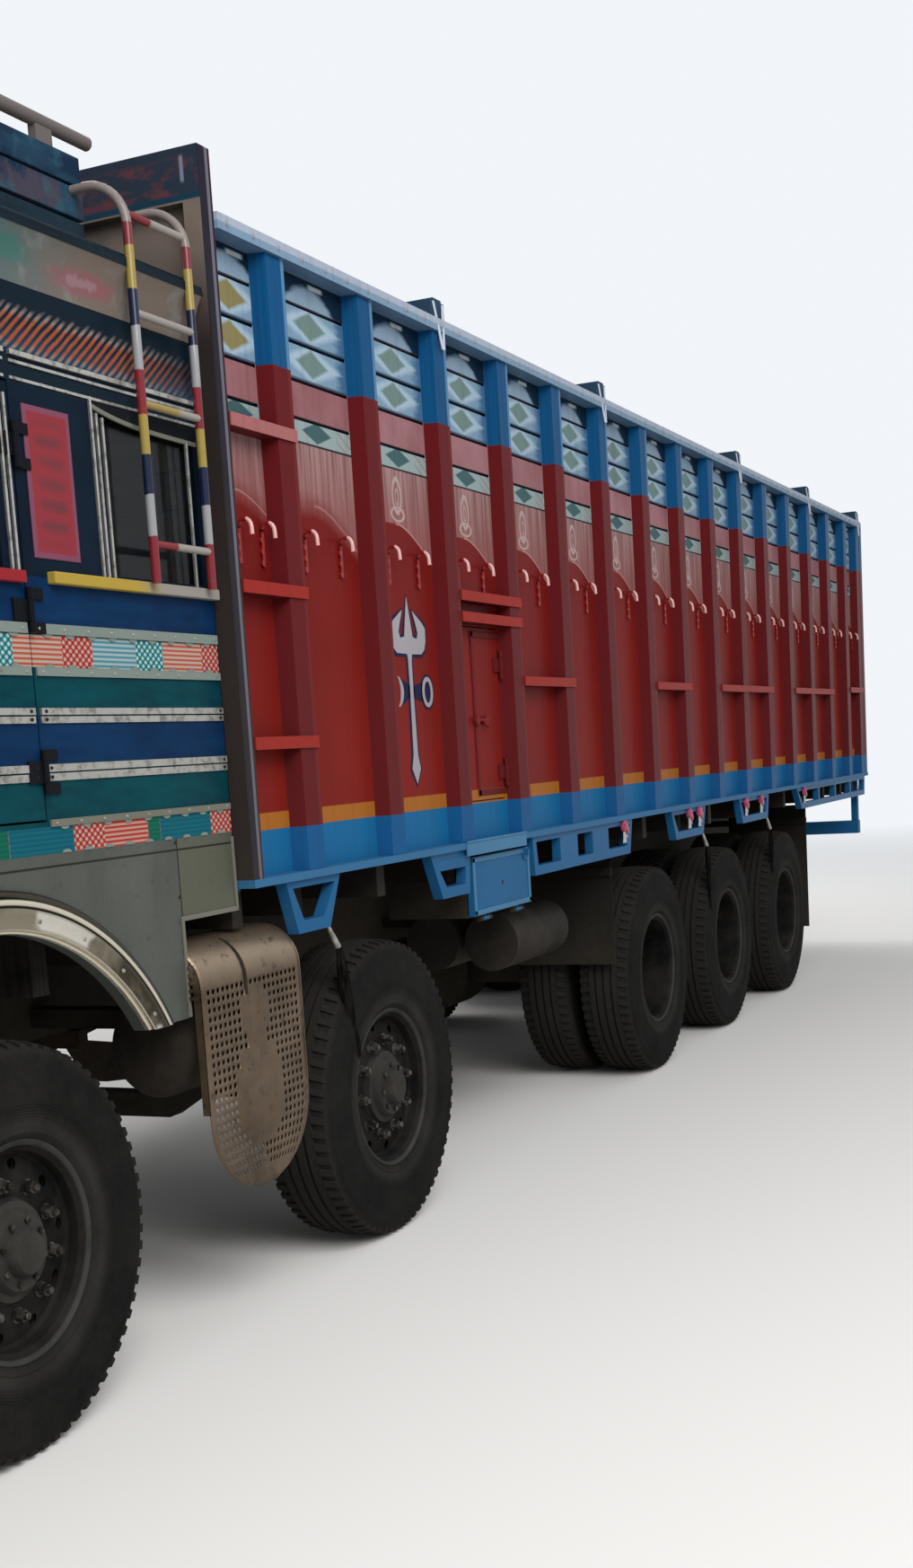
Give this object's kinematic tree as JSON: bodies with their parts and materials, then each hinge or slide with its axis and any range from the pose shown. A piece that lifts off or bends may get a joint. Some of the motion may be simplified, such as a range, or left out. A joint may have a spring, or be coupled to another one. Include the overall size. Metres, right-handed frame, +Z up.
{
  "type": "five-axle decorated cargo truck",
  "caption": "Decorated cargo truck with a coachbuilt cab, a tall open-topped load body with upright posts, two steered front axles and three twin-wheeled rear axles.",
  "frame": {"origin": "on the ground, at the middle of the truck's length and width", "axes": "+X forward along the truck, +Y to its left, +Z up"},
  "size_m": [12, 2.9, 3.43],
  "materials": {
    "chassis_paint": "satin",
    "running_gear": "rough",
    "spring_steel": "matt",
    "wheel_paint": "dusty satin",
    "tyre_rubber": "dusty matt",
    "body_paint": "gloss",
    "body_blue": "gloss",
    "floor_steel": "worn",
    "board_paint": "satin",
    "cab_paint": "gloss",
    "raw_sheet": "dull",
    "polished_steel": "polished",
    "cab_lining": "satin",
    "cab_glass": "clear",
    "seat_cover": "woven",
    "dash_plastic": "grained",
    "lamp_lens": "clear",
    "mirror_case": "gloss",
    "flap_rubber": "matt"
  },
  "bodies": {
    "chassis": {"chassis_frame": "chassis_paint", "engine_block": "running_gear", "steer_axles": "running_gear", "rear_axles": "running_gear", "leaf_springs": "spring_steel", "load_floor": "floor_steel", "side_wall_left": "body_paint", "side_wall_right": "body_paint", "headboard": "board_paint", "rear_frame": "body_blue", "cross_ties": "body_blue", "cab_front": "cab_paint", "cab_side_left": "cab_paint", "cab_side_right": "cab_paint", "cab_roof": "cab_paint", "roof_rack": "cab_paint", "cab_rear": "cab_lining", "cab_floor": "floor_steel", "cab_glass": "cab_glass", "cab_seats": "seat_cover", "dashboard": "dash_plastic", "mirrors": "mirror_case", "front_bumper": "raw_sheet", "lamps": "lamp_lens", "silencer_guard": "polished_steel", "tool_box": "body_blue", "tanks": "chassis_paint", "side_rails": "body_blue", "mud_flaps": "flap_rubber", "rear_bumper": "body_blue"},
    "wheel_1_left": {"wheel_1_left": "wheel_paint", "tyre_1_left": "tyre_rubber"},
    "knuckle_1_left": {"knuckle_1_left": "running_gear"},
    "wheel_1_right": {"wheel_1_right": "wheel_paint", "tyre_1_right": "tyre_rubber"},
    "knuckle_1_right": {"knuckle_1_right": "running_gear"},
    "wheel_2_left": {"wheel_2_left": "wheel_paint", "tyre_2_left": "tyre_rubber"},
    "knuckle_2_left": {"knuckle_2_left": "running_gear"},
    "wheel_2_right": {"wheel_2_right": "wheel_paint", "tyre_2_right": "tyre_rubber"},
    "knuckle_2_right": {"knuckle_2_right": "running_gear"},
    "wheel_3_left": {"wheel_3_left": "wheel_paint", "tyre_3_left": "tyre_rubber"},
    "wheel_3_right": {"wheel_3_right": "wheel_paint", "tyre_3_right": "tyre_rubber"},
    "wheel_4_left": {"wheel_4_left": "wheel_paint", "tyre_4_left": "tyre_rubber"},
    "wheel_4_right": {"wheel_4_right": "wheel_paint", "tyre_4_right": "tyre_rubber"},
    "wheel_5_left": {"wheel_5_left": "wheel_paint", "tyre_5_left": "tyre_rubber"},
    "wheel_5_right": {"wheel_5_right": "wheel_paint", "tyre_5_right": "tyre_rubber"},
    "cab_door_left": {"cab_door_left": "cab_paint"},
    "cab_door_right": {"cab_door_right": "cab_paint"},
    "tail_door_left": {"tail_door_left": "body_paint"},
    "tail_door_right": {"tail_door_right": "body_paint"},
    "side_door": {"side_door": "body_paint"},
    "tool_box_lid": {"tool_box_lid": "body_blue"}
  },
  "joints": [
    {"name": "steer_1_left", "type": "hinge", "parent": "chassis", "child": "knuckle_1_left", "pos_m": [4.71, 0.93, 0.525], "axis": [0, 0, 1], "range_deg": [-35, 35]},
    {"name": "roll_1_left", "type": "hinge", "parent": "knuckle_1_left", "child": "wheel_1_left", "pos_m": [4.71, 1.1, 0.525], "axis": [0, 1, 0], "continuous": true},
    {"name": "steer_1_right", "type": "hinge", "parent": "chassis", "child": "knuckle_1_right", "pos_m": [4.71, -0.93, 0.525], "axis": [0, 0, 1], "range_deg": [-35, 35]},
    {"name": "roll_1_right", "type": "hinge", "parent": "knuckle_1_right", "child": "wheel_1_right", "pos_m": [4.71, -1.1, 0.525], "axis": [0, 1, 0], "continuous": true},
    {"name": "steer_2_left", "type": "hinge", "parent": "chassis", "child": "knuckle_2_left", "pos_m": [2.645, 0.93, 0.525], "axis": [0, 0, 1], "range_deg": [-24, 24]},
    {"name": "roll_2_left", "type": "hinge", "parent": "knuckle_2_left", "child": "wheel_2_left", "pos_m": [2.645, 1.1, 0.525], "axis": [0, 1, 0], "continuous": true},
    {"name": "steer_2_right", "type": "hinge", "parent": "chassis", "child": "knuckle_2_right", "pos_m": [2.645, -0.93, 0.525], "axis": [0, 0, 1], "range_deg": [-24, 24]},
    {"name": "roll_2_right", "type": "hinge", "parent": "knuckle_2_right", "child": "wheel_2_right", "pos_m": [2.645, -1.1, 0.525], "axis": [0, 1, 0], "continuous": true},
    {"name": "roll_3_left", "type": "hinge", "parent": "chassis", "child": "wheel_3_left", "pos_m": [-0.455, 0.94, 0.525], "axis": [0, 1, 0], "continuous": true},
    {"name": "roll_3_right", "type": "hinge", "parent": "chassis", "child": "wheel_3_right", "pos_m": [-0.455, -0.94, 0.525], "axis": [0, 1, 0], "continuous": true},
    {"name": "roll_4_left", "type": "hinge", "parent": "chassis", "child": "wheel_4_left", "pos_m": [-1.825, 0.94, 0.525], "axis": [0, 1, 0], "continuous": true},
    {"name": "roll_4_right", "type": "hinge", "parent": "chassis", "child": "wheel_4_right", "pos_m": [-1.825, -0.94, 0.525], "axis": [0, 1, 0], "continuous": true},
    {"name": "roll_5_left", "type": "hinge", "parent": "chassis", "child": "wheel_5_left", "pos_m": [-3.235, 0.94, 0.525], "axis": [0, 1, 0], "continuous": true},
    {"name": "roll_5_right", "type": "hinge", "parent": "chassis", "child": "wheel_5_right", "pos_m": [-3.235, -0.94, 0.525], "axis": [0, 1, 0], "continuous": true},
    {"name": "cab_door_left_hinge", "type": "hinge", "parent": "chassis", "child": "cab_door_left", "pos_m": [4.428, 1.212, 2.1], "axis": [0, 0, 1], "range_deg": [0, 70]},
    {"name": "tail_door_left_hinge", "type": "hinge", "parent": "chassis", "child": "tail_door_left", "pos_m": [-5.985, 1.162, 2.2], "axis": [0, 0, -1], "range_deg": [0, 175]},
    {"name": "cab_door_right_hinge", "type": "hinge", "parent": "chassis", "child": "cab_door_right", "pos_m": [4.428, -1.212, 2.1], "axis": [0, 0, -1], "range_deg": [0, 70]},
    {"name": "tail_door_right_hinge", "type": "hinge", "parent": "chassis", "child": "tail_door_right", "pos_m": [-5.985, -1.162, 2.2], "axis": [0, 0, 1], "range_deg": [0, 175]},
    {"name": "side_door_hinge", "type": "hinge", "parent": "chassis", "child": "side_door", "pos_m": [1.396, 1.207, 1.82], "axis": [0, 0, 1], "range_deg": [0, 100]},
    {"name": "tool_box_lid_hinge", "type": "hinge", "parent": "chassis", "child": "tool_box_lid", "pos_m": [1.56, 1.218, 1.024], "axis": [-1, 0, 0], "range_deg": [0, 100]}
  ],
  "couplings": [
    {"joint": "steer_1_right", "follows": "steer_1_left", "ratio": 1},
    {"joint": "steer_2_left", "follows": "steer_1_left", "ratio": 0.68},
    {"joint": "steer_2_right", "follows": "steer_1_left", "ratio": 0.68}
  ]
}
